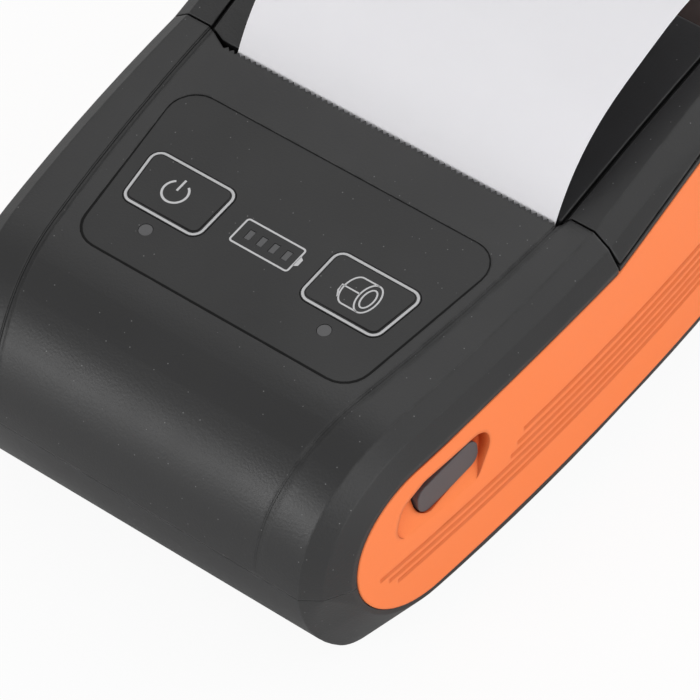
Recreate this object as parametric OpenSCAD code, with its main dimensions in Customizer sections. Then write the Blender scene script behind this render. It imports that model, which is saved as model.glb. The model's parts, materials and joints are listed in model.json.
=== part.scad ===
// Portable 58 mm thermal receipt printer, millimetres.
// +X is to the printer's right, -Y is the nose, +Z is up. The origin is under the middle of the body.

/* [Body] */
// Width over the black case at its widest point
body_w = 82.3; // [82:0.1:84]
// Length from the nose to the rear
body_l = 122; // [121:0.5:126]
// Height of the tear edge above the table
deck_z = 42.2; // [41.8:0.1:43]
// Slope of the deck down to the nose, in degrees
deck_slope = 3; // [2.5:0.1:3.5]
// Radius of the round nose
nose_r = 21.4; // [21:0.1:21.8]
// Height of the lid's highest point
crown_z = 46.9; // [46.7:0.1:47.5]
// Thickness of the moulded walls
wall = 1.8; // [1.6:0.1:2]

/* [Paper] */
// Width of the paper
paper_w = 57.5; // [56.5:0.5:57.5]
// Sideways place of the paper's middle
paper_x = 2.5; // [2.3:0.1:2.7]
// Outer radius of the paper roll
roll_r = 18; // [12:0.5:18]
// Length of the loose paper strip past the tear edge
strip_l = 66; // [40:1:70]

/* [Details] */
// Number of teeth in the tear edge
tear_teeth = 59; // [40:1:62]
// Travel of the two keys
key_travel = 0.4; // [0.2:0.1:0.4]

/* [Hidden] */
$fn = 48;

black = "#3d3d3f";
orange = "#ff8449";
button_grey = "#5f585b";
paper_white = "#ececee";
smoke = "#3a2b26";
rubber_grey = "#2c2c2e";
steel = "#b9bcc0";
gear_white = "#e6e2d6";
board_green = "#1f6b3f";

gap = 0.35;
fit = 0.04;
half_l = body_l / 2;
half_w = body_w / 2;
far = 200;

// Side profile: deck line, nose arc, chin arc, toe arc, heel arc, rear arc and the lid's long arc
tear_y = -0.7;
seam_y = 1.2;
nose_c_y = -half_l + nose_r;
nose_c = [nose_c_y, deck_z + (nose_c_y - tear_y) * tan(deck_slope) - nose_r / cos(deck_slope)];
chin_r = 23.6;
chin_c = [-half_l + chin_r, nose_c[1]];
toe_r = 8;
toe_angle = asin((chin_c[1] - toe_r) / (chin_r - toe_r));
toe_c = [chin_c[0] - (chin_r - toe_r) * cos(toe_angle), toe_r];
heel_r = 14;
heel_c = [half_l - heel_r, heel_r];
crown_y = 36;
crown_r = 135;
crown_c = [crown_y, crown_z - crown_r];
rear_r = 17;
rear_c = [
    half_l - rear_r,
    crown_c[1] + sqrt(pow(crown_r - rear_r, 2) - pow(half_l - rear_r - crown_y, 2))
];
rear_top_angle = atan2(rear_c[1] - crown_c[1], rear_c[0] - crown_c[0]);

// Plan: the sides, shoulders and creases are long arcs, widest a little behind the middle
side_plan_r = 380;
side_mid_y = 4.3;
crease_half = 36.9;
shoulder_half = 39.5;
shoulder_drop = 2;

// A fine groove runs along the deck and the lid inside each crease, on a bow of its own
groove_half = 32.6;
groove_plan_r = 367;
groove_mid_y = 18;

// Orange side panel: two round ends, a slightly arched lower edge, and a top edge that rises from the seam
panel_front_c = [-40.7, 19.9];
panel_front_r = 13.65;
panel_rear_c = [36, 25.2];
panel_rear_r = 17.2;
panel_t = 1.7;
panel_proud = 0.1;
panel_kink_y = 0.5;
panel_front_top = 36.1;
panel_top_bend = 640;
panel_low_mid = [15, 8.2];
panel_low_bend = 1550;
rim = 1;

// The nose shell meets the bottom shell at this height, and the rear cover at this length
parting_z = 19;
rear_part_y = 46;

// Lid hinge; the seam in front of the lid is an arc about it
hinge_y = 50;
hinge_z = 42.2;
barrel_r = 2.9;
hinge_pin_r = 1;
fixed_knuckle_r = 1.9;
tail_r = 4.3;
seam_r = hinge_y - seam_y;
lip_y = 0.1;
lip_r = hinge_y - lip_y;
notch_x = [-32.4, 32.9];
lip_x = [-29.6, 32.1];
knuckle_in = 12;
knuckle_out = 28;
barrel_end = 31.2;

// Print line
platen_y = 6.6;
platen_z = 36.6;
platen_r = 4.5;
shaft_r = 2;
bush_r = 3.2;
head_angle = 20;
nip_gap = 0.5;
rubber_x = [-27, 31.6];
tear_x = [-28.3, 31.7];
frame_left_x = [-28.8, -27.8];
frame_right_x = [32.4, 33.4];
left_arm_x = [-30.3, -29.1];
right_arm_x = [33.7, 34.9];
frame_floor_z = 13.6;
frame_screw_x = [-22, 24];
frame_screw_y = 7.9;

// Gears: module 0.5, with their axes placed from the platen
gear_m = 0.5;
platen_teeth = 18;
small_teeth = 14;
big_teeth = 32;
pinion_teeth = 12;
small_mesh_angle = 250;
big_mesh_angle = 215;
tooth_relief = 0.1;
small_mesh_d = gear_m * (platen_teeth + small_teeth) / 2 + 0.05;
big_mesh_d = gear_m * (big_teeth + pinion_teeth) / 2 + 0.05;
reduction_y = platen_y + small_mesh_d * cos(small_mesh_angle);
reduction_z = platen_z + small_mesh_d * sin(small_mesh_angle);
pinion_y = reduction_y + big_mesh_d * cos(big_mesh_angle);
pinion_z = reduction_z + big_mesh_d * sin(big_mesh_angle);
inner_gear_x = [-33.6, -31.2];
outer_gear_x = [-36.1, -34.2];
motor_r = 7.5;
motor_x = [frame_left_x[1], -11];

// Paper roll and its cradle
roll_c = [36, 22.4];
core_r = 6.5;
cradle_r = 18.7;
cradle_t = 1.4;
paper_t = 0.12;

// Release button, recess, slider and latch
button_c = [-36, 25.8];
button_tilt = 10;
button_sunk = 0.7;
recess_c = [-37.3, 26.3];
recess_tilt = 8;
recess_depth = 2.4;
recess_r = 18;
recess_top = 30.4;
latch_c = [3, 25];
spring_seat_x = 29.5;
slider_x = [33.7, 34.9];
slider_end = [31.4, -30.3];
latch_x = [35.2, 35.8];

// Battery bay and door
bay_half = 29;
bay_y = [-43, -9.8];
door_y = [-41.5, -10.1];
door_half = 28.6;
door_t = 1.6;
door_pin_r = 0.5;
door_pin_y = door_y[0] + door_t / 2;

// Deck features, measured along the deck from the tear edge
label_u = 0.5;
label_top = -9;
label_bottom = -39.8;
label_top_half = 29.1;
label_bottom_half = 25.1;
label_corner_r = 4.5;
label_t = 0.25;
key_top = -20.92;
key_bottom = -30.49;
key_outer_top = 24.23;
key_outer_bottom = 22.86;
key_inner = 9.23;
led_u = 16.15;
led_v = -33.35;
led_r = 1.1;
gauge_bars = [-3.17, -0.96, 1.23, 3.53];
gauge_v = -25.83;
gauge_bar = [0.95, 1.7];
board_drop = 5.4;
switch_h = 1.5;
main_board_z = [24, 25.6];

// Arcs and edges as functions

function polar(r, angle) = r * [cos(angle), sin(angle)];
function arc(c, r, from, to, n) = [for (i = [0:n]) c + polar(r, from + (to - from) * i / n)];
function steps(from, to, n) = [for (i = [0:n]) from + (to - from) * i / n];
function smooth(t) = let (u = min(max(t, 0), 1)) u * u * (3 - 2 * u);
function deck_height(y) = deck_z + (y - tear_y) * tan(deck_slope);
function bowed(half, y) = sqrt(side_plan_r * side_plan_r - pow(y - side_mid_y, 2)) - side_plan_r + half;
function groove_x(d, y) =
    sqrt(groove_plan_r * groove_plan_r - pow(y - groove_mid_y, 2)) - groove_plan_r + groove_half + d;
function panel_top(y) = y < panel_kink_y
    ? panel_front_top - pow(y - panel_kink_y, 2) / panel_top_bend
    : panel_front_top + (panel_rear_c[1] + panel_rear_r - panel_front_top)
        * sin(90 * (y - panel_kink_y) / (panel_rear_c[0] - panel_kink_y));
function panel_bottom(y) = panel_low_mid[1] - pow(y - panel_low_mid[0], 2) / panel_low_bend;

// Placing helpers

module side_extrude(x_range) {
    translate([x_range[0], 0, 0])
        rotate([90, 0, 90])
            linear_extrude(x_range[1] - x_range[0])
                children();
}

module x_cylinder(x_range, r, y, z) {
    translate([x_range[0], y, z])
        rotate([0, 90, 0])
            cylinder(h = x_range[1] - x_range[0], r = r);
}

module block(x_range, y_range, z_range) {
    translate([x_range[0], y_range[0], z_range[0]])
        cube([x_range[1] - x_range[0], y_range[1] - y_range[0], z_range[1] - z_range[0]]);
}

module on_deck() {
    translate([0, tear_y, deck_z])
        rotate([deck_slope, 0, 0])
            children();
}

// Plan outlines with both sides bowed

module mirrored_plan(right) {
    left = [for (i = [len(right) - 1:-1:0]) [-right[i][0], right[i][1]]];
    linear_extrude(far, center = true)
        polygon(concat(right, left));
}

module bowed_plan(half, y_range, n) {
    mirrored_plan([for (y = steps(y_range[0], y_range[1], n)) [bowed(half, y), y]]);
}

module groove_plan(d, y_range, n) {
    mirrored_plan([for (y = steps(y_range[0], y_range[1], n)) [groove_x(d, y), y]]);
}

// Case outlines in side view, drawn in by t

module front_profile(t, y_end) {
    polygon(concat(
        [[y_end, deck_height(y_end) - t / cos(deck_slope)]],
        arc(nose_c, nose_r - t, 90 + deck_slope, 180, 18),
        arc(chin_c, chin_r - t, 184, 180 + toe_angle, 8),
        arc(toe_c, toe_r - t, 185 + toe_angle, 270, 8),
        [[y_end, t]]
    ));
}

module rear_profile(t, y_start) {
    start_angle = acos((y_start - crown_c[0]) / (crown_r - t));
    polygon(concat(
        [[y_start, t]],
        arc(heel_c, heel_r - t, 270, 360, 10),
        arc(rear_c, rear_r - t, 0, rear_top_angle, 14),
        arc(crown_c, crown_r - t, rear_top_angle + 0.5, start_angle, 14)
    ));
}

module front_rim_profile(t, y_end) {
    polygon(concat(
        [for (y = [y_end, panel_kink_y, -10, -20, -30]) [y, panel_top(y) + rim - t]],
        arc(panel_front_c, panel_front_r + rim - t, 95, 274, 26),
        [[y_end, panel_bottom(y_end) - rim + t]]
    ));
}

module rear_rim_profile(t, y_start) {
    polygon(concat(
        [[y_start, panel_bottom(y_start) - rim + t]],
        arc(panel_rear_c, panel_rear_r + rim - t, 270, 450, 28),
        [for (y = [panel_rear_c[0] - 4:-4:y_start + 1]) [y, panel_top(y) + rim - t]],
        [[y_start, panel_top(y_start) + rim - t]]
    ));
}

// Front and rear halves of the case: from the crease a rounded shoulder falls to the rim of the side panel,
// and below the panel the side is cut back straight to the underside

module front_form(t, side_t, y_end) {
    span = [-half_l, y_end];
    hull() {
        intersection() {
            side_extrude([-far, far]) front_profile(t, y_end);
            bowed_plan(crease_half - 0.5 * side_t, span, 10);
        }
        intersection() {
            side_extrude([-far, far]) front_profile(t + shoulder_drop, y_end);
            bowed_plan(shoulder_half - 0.9 * side_t, span, 10);
            block([-far, far], span, [parting_z, far]);
        }
        intersection() {
            side_extrude([-far, far]) front_rim_profile(t, y_end);
            bowed_plan(half_w - side_t, span, 10);
        }
    }
}

module rear_form(t, side_t, y_start) {
    span = [y_start, half_l];
    hull() {
        intersection() {
            side_extrude([-far, far]) rear_profile(t, y_start);
            bowed_plan(crease_half - 0.5 * side_t, span, 10);
        }
        intersection() {
            side_extrude([-far, far]) rear_profile(t + shoulder_drop, y_start);
            bowed_plan(shoulder_half - 0.9 * side_t, span, 10);
            block([-far, far], span, [parting_z, far]);
        }
        intersection() {
            side_extrude([-far, far]) rear_rim_profile(t, y_start);
            bowed_plan(half_w - side_t, span, 10);
        }
    }
}

side_wall = 1.5;
side_t = panel_t + side_wall;

module panel_outline(d) {
    polygon(concat(
        arc(panel_front_c, panel_front_r + d, 95, 274, 36),
        [for (y = [-36:6:30]) [y, panel_bottom(y) - d]],
        arc(panel_rear_c, panel_rear_r + d, 270, 450, 36),
        [for (y = [panel_rear_c[0] - 3:-3:panel_kink_y + 2]) [y, panel_top(y) + d]],
        [for (y = [panel_kink_y:-6:-36]) [y, panel_top(y) + d]]
    ));
}

// Ring between the case side and a depth under it, for the panels and their pockets

module side_skin(depth, proud) {
    difference() {
        bowed_plan(half_w + proud, [-half_l, half_l], 24);
        bowed_plan(half_w - depth, [-half_l - 1, half_l + 1], 24);
    }
}

module panel_pockets() {
    intersection() {
        side_extrude([-far, far]) panel_outline(0.12);
        side_skin(panel_t + 0.1, 5);
    }
}

// Bowed strip between two plan curves beside the middle, above the children

module crease_groove(width, y_range) {
    difference() {
        groove_plan(width / 2, y_range, 12);
        groove_plan(-width / 2, y_range + [-1, 1], 12);
        side_extrude([-far, far]) children();
    }
}

// Deck shapes

module rounded(r) {
    offset(r = r) offset(delta = -r) children();
}

module label_shape(d) {
    offset(delta = d) rounded(label_corner_r)
        polygon([
            [label_u - label_top_half, label_top], [label_u - label_bottom_half, label_bottom],
            [label_u + label_bottom_half, label_bottom], [label_u + label_top_half, label_top]
        ]);
}

module key_shape(side, d) {
    offset(delta = d) rounded(1.6)
        polygon([
            [side * key_outer_top, key_top], [side * key_inner, key_top],
            [side * key_inner, key_bottom], [side * key_outer_bottom, key_bottom]
        ]);
}

module led_shape(r) {
    for (side = [-1, 1])
        translate([side * led_u, led_v])
            circle(r);
}

module gauge_shape(d) {
    for (u = gauge_bars)
        translate([u, gauge_v])
            square(gauge_bar + [2 * d, 2 * d], center = true);
}

// Saw-tooth line of the tear edge; the deck runs back a little at each end of it

module tear_saw() {
    pitch = (tear_x[1] - tear_x[0]) / tear_teeth;
    depth = 0.57;
    points = [for (i = [0:2 * tear_teeth]) [tear_x[0] + i * pitch / 2, tear_y - (i % 2 == 0 ? depth : 0)]];
    translate([0, 0, deck_z - 8])
        linear_extrude(12)
            polygon(concat(points, [
                [notch_x[1], seam_y - gap], [notch_x[1], 6], [notch_x[0], 6], [notch_x[0], seam_y - gap]
            ]));
}

// The teeth are thin at their tips, because the wall under them is cut back at the angle of the paper

module tear_bevel() {
    tip_t = 0.1;
    run = 3;
    side_extrude(tear_x)
        polygon([
            [tear_y, deck_z - tip_t], [tear_y - run, deck_z - tip_t - run * tan(foot_angle)],
            [6, deck_z - tip_t - run * tan(foot_angle)], [6, deck_z - tip_t]
        ]);
}

// Button recess and button outline on the right side, in side view

module oblong(c, tilt, length, height) {
    translate(c)
        rotate(tilt)
            hull()
                for (end = [-1, 1])
                    translate([end * (length - height) / 2, 0])
                        circle(height / 2, $fn = 32);
}

module button_outline(d) {
    translate(button_c)
        rotate(button_tilt)
            offset(delta = d) rounded(2)
                polygon([[-6.3, -2.6], [-5.4, 2.6], [6.6, 2.6], [6, -2.5]]);
}

// Case shells

module nose_shell() {
    color(black)
    difference() {
        union() {
            difference() {
                intersection() {
                    front_form(0, 0, seam_y);
                    block([-far, far], [-far, seam_y - gap], [parting_z, far]);
                }
                front_form(wall, side_t, 6);
            }
            intersection() {
                union() {
                    for (x = [-front_post[0], front_post[0]])
                        translate([x, front_post[1], parting_z]) cylinder(h = 30, r = post_r);
                    for (p = main_board_posts)
                        translate([p[0], p[1], main_board_z[1]]) cylinder(h = 30, r = board_post_r);
                }
                side_extrude([-far, far]) front_profile(0.5, seam_y);
            }
            on_deck()
                for (p = board_posts)
                    translate([p[0], p[1], -board_drop]) cylinder(h = board_drop - 1, r = board_post_r);
        }
        tear_saw();
        tear_bevel();
        panel_pockets();
        deck_groove(1.1, 0.12);
        deck_groove(0.6, 0.28);
        on_deck() {
            translate([0, 0, -label_t - label_sunk]) linear_extrude(5) label_shape(0.1);
            translate([0, 0, -5]) linear_extrude(10) {
                key_shape(-1, 0.45);
                key_shape(1, 0.45);
                led_shape(led_r + 0.05);
                gauge_shape(0.05);
            }
        }
        recess_hole();
        side_extrude([-far, -20]) usb_outline(0.4);
        for (x = [-front_post[0], front_post[0]])
            translate([x, front_post[1], parting_z - 1]) cylinder(h = 12, r = pilot_r);
    }
}

// The deck's crease groove grows shallow over the nose

module deck_groove(width, depth) {
    crease_groove(width, [-half_l, seam_y + 1])
        translate([0, -depth])
            front_profile(0, seam_y + 2);
}

module usb_outline(d) {
    translate([-33, main_board_z[1] + 1.65])
        rounded(1.2)
            square([9 + 2 * d, 3.3 + 2 * d], center = true);
}

// Screws from below: two up into the nose shell and two into lugs of the rear cover
front_post = [26, -49];
rear_post = [22, 54];
front_head_z = 3.6;
rear_head_z = 2.6;
lug_z = 6.6;
post_r = 2.2;
pilot_r = 0.9;
shank_r = 0.85;
head_r = 1.9;
head_h = 1.4;
board_posts = [[-23, -16], [23, -16], [-21, -36], [21, -36]];
main_board_posts = [[-30, -20], [28.6, -20], [-24, -43.5], [24, -43.5]];
board_post_r = 1.6;
parting_gap = 0.05;
label_sunk = 0.05;

module bottom_shell() {
    color(black)
    difference() {
        union() {
            difference() {
                union() {
                    intersection() {
                        front_form(0, 0, seam_y);
                        block([-far, far], [-far, seam_y], [-1, parting_z - parting_gap]);
                    }
                    intersection() {
                        rear_form(0, 0, seam_y);
                        side_extrude([-far, far]) base_side_region();
                    }
                }
                front_form(wall, side_t, seam_y + 0.5);
                rear_form(wall, side_t, seam_y - 0.5);
            }
            battery_bay();
            spring_seat();
            screw_posts(front_post, parting_z - parting_gap);
            screw_posts(rear_post, lug_z - 0.2);
            for (x = frame_screw_x)
                translate([x, frame_screw_y, 1]) cylinder(h = frame_floor_z - 1, r = 2.6);
        }
        panel_pockets();
        screw_holes(front_post, front_head_z);
        screw_holes(rear_post, rear_head_z);
        for (x = frame_screw_x)
            translate([x, frame_screw_y, frame_floor_z - 6]) cylinder(h = 10, r = pilot_r);
        block([-door_half - 0.2, door_half + 0.2], door_y + [-0.25, 0.25], [-1, 5]);
        block([-8, 8], [door_y[1], door_y[1] + 3.2], [-1, 0.8]);
        x_cylinder([-door_half - 1.3, door_half + 1.3], door_pin_r + fit, door_pin_y, door_t / 2);
        recess_hole();
    }
}

// Tub of the recess behind the right panel, and the hole for it in the shells

module recess_tub(d) {
    oblong(recess_c, recess_tilt, 22.6 + 2 * d, 11.2 + 2 * d);
}

module recess_hole() {
    side_extrude([31, far]) recess_tub(0.4);
}

module screw_posts(place, top) {
    for (x = [-place[0], place[0]])
        intersection() {
            translate([x, place[1], 0]) cylinder(h = top, r = post_r + 1);
            side_extrude([-far, far]) {
                front_profile(0.4, seam_y);
                rear_profile(0.4, seam_y);
            }
        }
}

module screw_holes(place, head_z) {
    for (x = [-place[0], place[0]]) {
        translate([x, place[1], -1]) cylinder(h = 40, r = shank_r + 0.3);
        translate([x, place[1], -1]) cylinder(h = head_z + head_h + 1.1, r = head_r + 0.3);
    }
}

// Rear half of the tub in side view: up to the rim, and to the parting height behind the rear cover's joint

module base_side_region() {
    rear_part_angle = acos((rear_part_y - panel_rear_c[0]) / (panel_rear_r + rim));
    polygon(concat(
        [[seam_y, -1], [seam_y, panel_top(seam_y) + rim]],
        [for (y = [6:6:panel_rear_c[0]]) [y, panel_top(y) + rim]],
        arc(panel_rear_c, panel_rear_r + rim, 86, rear_part_angle, 4),
        [[rear_part_y, parting_z - parting_gap], [far, parting_z - parting_gap], [far, -1]]
    ));
}

module spring_seat() {
    seat_t = 1.2;
    seat_half = 2.4;
    block(
        [spring_seat_x - seat_t, spring_seat_x],
        [button_c[0] - seat_half, button_c[0] + seat_half],
        [1, button_c[1] + seat_half + 0.2]
    );
}

module battery_bay() {
    bay_top = 15;
    bay_wall = 1.2;
    difference() {
        block([-bay_half - bay_wall, bay_half + bay_wall], bay_y + [-bay_wall, bay_wall], [1, bay_top]);
        block([-bay_half, bay_half], bay_y, [wall, far]);
    }
}

module rear_cover() {
    side_gap = 0.2;
    fixed_knuckles = [
        [-barrel_end, -knuckle_out - side_gap],
        [-3, knuckle_in - side_gap],
        [knuckle_out + side_gap, barrel_end]
    ];
    color(black)
    difference() {
        union() {
            difference() {
                intersection() {
                    rear_form(0, 0, seam_y);
                    side_extrude([-far, far]) rear_cover_region();
                }
                rear_form(wall, side_t, seam_y);
            }
            for (k = fixed_knuckles) {
                x_cylinder(k, fixed_knuckle_r, hinge_y, hinge_z);
                block(k, [hinge_y - 1.1, hinge_y + 0.5], [36, hinge_z - 0.3]);
                block(k, [hinge_y - 1.1, hinge_y + 8], [36, 37.2]);
            }
            for (x = [-rear_post[0], rear_post[0]])
                side_extrude([x - 2.8, x + 2.8]) rear_lug();
        }
        x_cylinder([-far, far], hinge_pin_r + fit, hinge_y, hinge_z);
        panel_pockets();
        for (x = [-rear_post[0], rear_post[0]])
            translate([x, rear_post[1], lug_z - 1]) cylinder(h = 8, r = pilot_r);
    }
}

module rear_cover_region() {
    difference() {
        polygon([
            [rear_part_y + 0.1, parting_z], [rear_part_y + 0.1, far],
            [far, far], [far, parting_z]
        ]);
        lid_region(gap);
    }
}

// Lug inside the rear cover that the screw from below pulls on

module rear_lug() {
    polygon([
        [59.6, 25], [57, 25], [57, 12.5], [52.2, 9.2], [52.2, lug_z],
        [56, lug_z], [58, 10.5], [58.2, parting_z], [59.6, parting_z + 0.3]
    ]);
}

// Orange side panels

module panel_plate(side) {
    intersection() {
        side_extrude(side > 0 ? [0, far] : [-far, 0]) panel_outline(0);
        side_skin(panel_t, panel_proud);
    }
}

// Three soft grooves run to the rear from the nose end, and three more above them start behind the recess.
// Each row holds the start along the panel and the height at the groove's highest point.

module panel_grooves(side) {
    groove_top_y = 16;
    groove_bend = 1940;
    groove_end = 38;
    rows = [[-47.2, 15.88], [-48.8, 17.43], [-50.4, 18.98], [-24, 20.58], [-22.5, 22.18], [-21, 23.88]];
    for (row = rows)
        for (cut = [[0.9, 0.12], [0.4, 0.26]])
            intersection() {
                side_extrude(side > 0 ? [0, far] : [-far, 0])
                    bent_bar(row[0], groove_end, [groove_top_y, row[1]], groove_bend, cut[0]);
                side_skin(cut[1] - panel_proud, 5);
            }
}

// Bar between two lengths that follows a flat arch with its top at a given point

module bent_bar(from, to, top, bend, width) {
    n = 9;
    line = [for (y = steps(from, to, n)) [y, top[1] - pow(y - top[0], 2) / bend]];
    polygon(concat(
        [for (q = line) q - [0, width / 2]],
        [for (i = [n:-1:0]) line[i] + [0, width / 2]]
    ));
}

module right_side_panel() {
    color(orange)
    difference() {
        union() {
            panel_plate(1);
            intersection() {
                side_extrude([0, far]) recess_tub(0);
                side_skin(side_t, -0.5);
            }
        }
        panel_grooves(1);
        recess_scoop();
        side_extrude([0, far]) button_outline(0.25);
    }
}

// The recess is deep along its upper edge and runs out below: its floor is part of a lying cylinder

module recess_scoop() {
    surface_x = bowed(half_w + panel_proud, recess_c[0]);
    surface_turn = atan((side_mid_y - recess_c[0]) / side_plan_r);
    intersection() {
        side_extrude([0, far])
            rounded(3)
                polygon([[-47.8, 21], [-45.4, 28.2], [-41, 30.2], [-28.2, 30.8], [-28, 26.5], [-31, 21]]);
        translate([surface_x, recess_c[0], recess_top])
            rotate([0, 0, -surface_turn])
                translate([recess_r - recess_depth, 0, 0])
                    rotate([90, 0, 0])
                        cylinder(h = 60, r = recess_r, center = true, $fn = 180);
    }
}

module left_side_panel() {
    color(orange)
    difference() {
        panel_plate(-1);
        panel_grooves(-1);
        side_extrude([-far, 0]) usb_outline(0.8);
    }
}

// Label, keys and lights

module label_overlay() {
    color("#343436")
    on_deck()
        translate([0, 0, -label_t - label_sunk])
            linear_extrude(label_t)
                difference() {
                    label_shape(0);
                    key_shape(-1, 0.45);
                    key_shape(1, 0.45);
                    led_shape(led_r);
                    gauge_shape(0.05);
                }
}

module key_cap(side) {
    stem_u = side * 16.6;
    stem_v = -25.7;
    stem_gap = 0.2;
    on_deck() {
        translate([0, 0, -2]) linear_extrude(2) key_shape(side, 0.35);
        translate([0, 0, -2.8]) linear_extrude(0.9) key_shape(side, 0.9);
        translate([stem_u, stem_v, switch_h - board_drop + key_travel + stem_gap]) cylinder(h = 1, r = 1.6);
    }
}

module power_key() {
    color("#343436") key_cap(-1);
}

module feed_key() {
    color("#343436") key_cap(1);
}

module key_light_pipes() {
    color("#77777a")
    on_deck()
        translate([0, 0, -4.6])
            linear_extrude(4.5)
                led_shape(led_r - 0.05);
}

module battery_gauge_lens() {
    color("#66666a")
    on_deck() {
        translate([0, 0, -2]) linear_extrude(1.9) gauge_shape(0);
        translate([-4.4, gauge_v - 1.7, -3.4]) cube([8.8, 3.4, 1.4]);
    }
}

// Lid with its hinge barrel and the two arms that carry the platen

module lid_region(d) {
    edge = rim + gap - d;
    polygon(concat(
        [[-5 - d, far], [-5 - d, panel_top(-5) + edge]],
        [for (y = [0:5:35]) [y, panel_top(y) + edge]],
        arc(panel_rear_c, panel_rear_r + edge, 86, 55, 5),
        [[hinge_y, hinge_z - 1], [hinge_y, far]]
    ));
    translate([hinge_y, hinge_z]) circle(tail_r + d, $fn = 96);
}

module lid() {
    lid_knuckles = [[-knuckle_out, -knuckle_in], [knuckle_in, knuckle_out]];
    fixed_zones = [
        [-barrel_end - 0.3, -knuckle_out],
        [-knuckle_in, knuckle_in],
        [knuckle_out, barrel_end + 0.3]
    ];
    color(black)
    difference() {
        union() {
            difference() {
                intersection() {
                    rear_form(0, 0, -1);
                    side_extrude([-far, far]) lid_region(0);
                    lid_front();
                }
                rear_form(wall, side_t - 0.6, -2);
            }
            for (k = lid_knuckles) {
                x_cylinder(k, barrel_r, hinge_y, hinge_z);
                block(k, [hinge_y - 5.4, hinge_y - 1], [hinge_z - 0.6, hinge_z + 2.4]);
            }
            intersection() {
                union() {
                    side_extrude(left_arm_x) lid_arm();
                    side_extrude(right_arm_x) lid_arm();
                }
                rear_form(0.9, 0.9, -1);
            }
        }
        for (zone = fixed_zones) {
            x_cylinder(zone, fixed_knuckle_r + gap, hinge_y, hinge_z);
            block(zone, [hinge_y, hinge_y + 6], [hinge_z - 6, hinge_z + 0.4]);
        }
        x_cylinder([-barrel_end, barrel_end], hinge_pin_r + fit, hinge_y, hinge_z);
        x_cylinder([-31, -28], bush_r + 0.02, platen_y, platen_z);
        x_cylinder([33, 36], bush_r + 0.02, platen_y, platen_z);
        crease_groove(0.7, [-2, hinge_y - 6])
            translate([0, -0.8])
                rear_profile(0, -4);
        window_opening(0);
    }
}

// The lid's front edge is an arc about its hinge, with a lip between the creases that reaches up to the teeth

module lid_front() {
    x_cylinder([-far, far], seam_r, hinge_y, hinge_z);
    intersection() {
        x_cylinder([-far, far], lip_r, hinge_y, hinge_z);
        linear_extrude(far)
            polygon([
                [notch_x[0], seam_y], [lip_x[0], lip_y], [lip_x[0], -5], [lip_x[1], -5], [lip_x[1], lip_y],
                [notch_x[1], seam_y], [notch_x[1], 10], [notch_x[0], 10]
            ]);
    }
}

module lid_arm() {
    hull() {
        translate([platen_y, platen_z]) circle(4.4, $fn = 32);
        translate([4, 40]) square([12, 3.6]);
    }
}

module window_opening(d) {
    block([-29 + d, 29 - d], [38.3 + d, 46.4 - d], [30, 60]);
}

module lid_window() {
    color(smoke)
    difference() {
        intersection() {
            rear_form(0.2, 0.2, seam_y);
            window_opening(0.1);
        }
        rear_form(1.7, 1.7, seam_y);
    }
}

module lid_hinge_pin() {
    color(steel)
    x_cylinder([-barrel_end + 0.3, barrel_end - 0.3], hinge_pin_r, hinge_y, hinge_z);
}

module lid_spring() {
    color(steel)
    difference() {
        x_cylinder([-11, -3.6], 1.9, hinge_y, hinge_z);
        x_cylinder([-12, -3], 1.35, hinge_y, hinge_z);
    }
}

// Platen

module platen_roller() {
    color(rubber_grey)
    difference() {
        x_cylinder(rubber_x, platen_r, platen_y, platen_z);
        x_cylinder(rubber_x + [-1, 1], shaft_r, platen_y, platen_z);
    }
}

module platen_shaft() {
    color(steel)
    x_cylinder([inner_gear_x[0], 36.2], shaft_r, platen_y, platen_z);
}

module platen_bushes() {
    color("#8f7a4a")
    for (x_range = [[-30.5, -27.4], [32, 35.1]])
        difference() {
            x_cylinder(x_range, bush_r, platen_y, platen_z);
            x_cylinder(x_range + [-1, 1], shaft_r + fit, platen_y, platen_z);
        }
}

// Involute gear outline; a tooth stands at the angle phase

function involute(a) = tan(a) - a * PI / 180;
function tooth_half(teeth, r) =
    let (
        base_r = gear_m * teeth / 2 * cos(20),
        a = r > base_r ? acos(base_r / r) : 0
    )
    90 / teeth + (involute(20) - involute(a) - tooth_relief / (gear_m * teeth / 2)) * 180 / PI;

module gear_outline(teeth, phase) {
    pitch_r = gear_m * teeth / 2;
    root_r = pitch_r - 1.15 * gear_m;
    tip_r = pitch_r + 0.9 * gear_m;
    flank = steps(max(root_r, pitch_r * cos(20)), tip_r, 3);
    polygon([
        for (i = [0:teeth - 1])
            let (mid = phase + 360 * i / teeth)
            each concat(
                [polar(root_r, mid - tooth_half(teeth, root_r))],
                [for (r = flank) polar(r, mid - tooth_half(teeth, r))],
                [for (k = [3:-1:0]) polar(flank[k], mid + tooth_half(teeth, flank[k]))],
                [polar(root_r, mid + tooth_half(teeth, root_r))]
            )
    ]);
}

module gear(x_range, teeth, phase, y, z) {
    side_extrude(x_range)
        translate([y, z])
            gear_outline(teeth, phase);
}

module platen_gear() {
    color(gear_white)
    difference() {
        gear(inner_gear_x, platen_teeth, small_mesh_angle, platen_y, platen_z);
        x_cylinder(inner_gear_x + [-1, 1], shaft_r, platen_y, platen_z);
    }
}

module reduction_gear() {
    axle_r = 1;
    small_phase = small_mesh_angle + 180 + 180 / small_teeth;
    color(gear_white)
    difference() {
        union() {
            gear(inner_gear_x, small_teeth, small_phase, reduction_y, reduction_z);
            x_cylinder([outer_gear_x[1] - 0.1, inner_gear_x[0] + 0.1], 2.4, reduction_y, reduction_z);
            gear(outer_gear_x, big_teeth, big_mesh_angle, reduction_y, reduction_z);
        }
        x_cylinder([-40, -30], axle_r + fit, reduction_y, reduction_z);
    }
}

module gear_axle() {
    color(steel)
    x_cylinder([outer_gear_x[0] - 0.5, frame_left_x[0]], 1, reduction_y, reduction_z);
}

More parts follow.
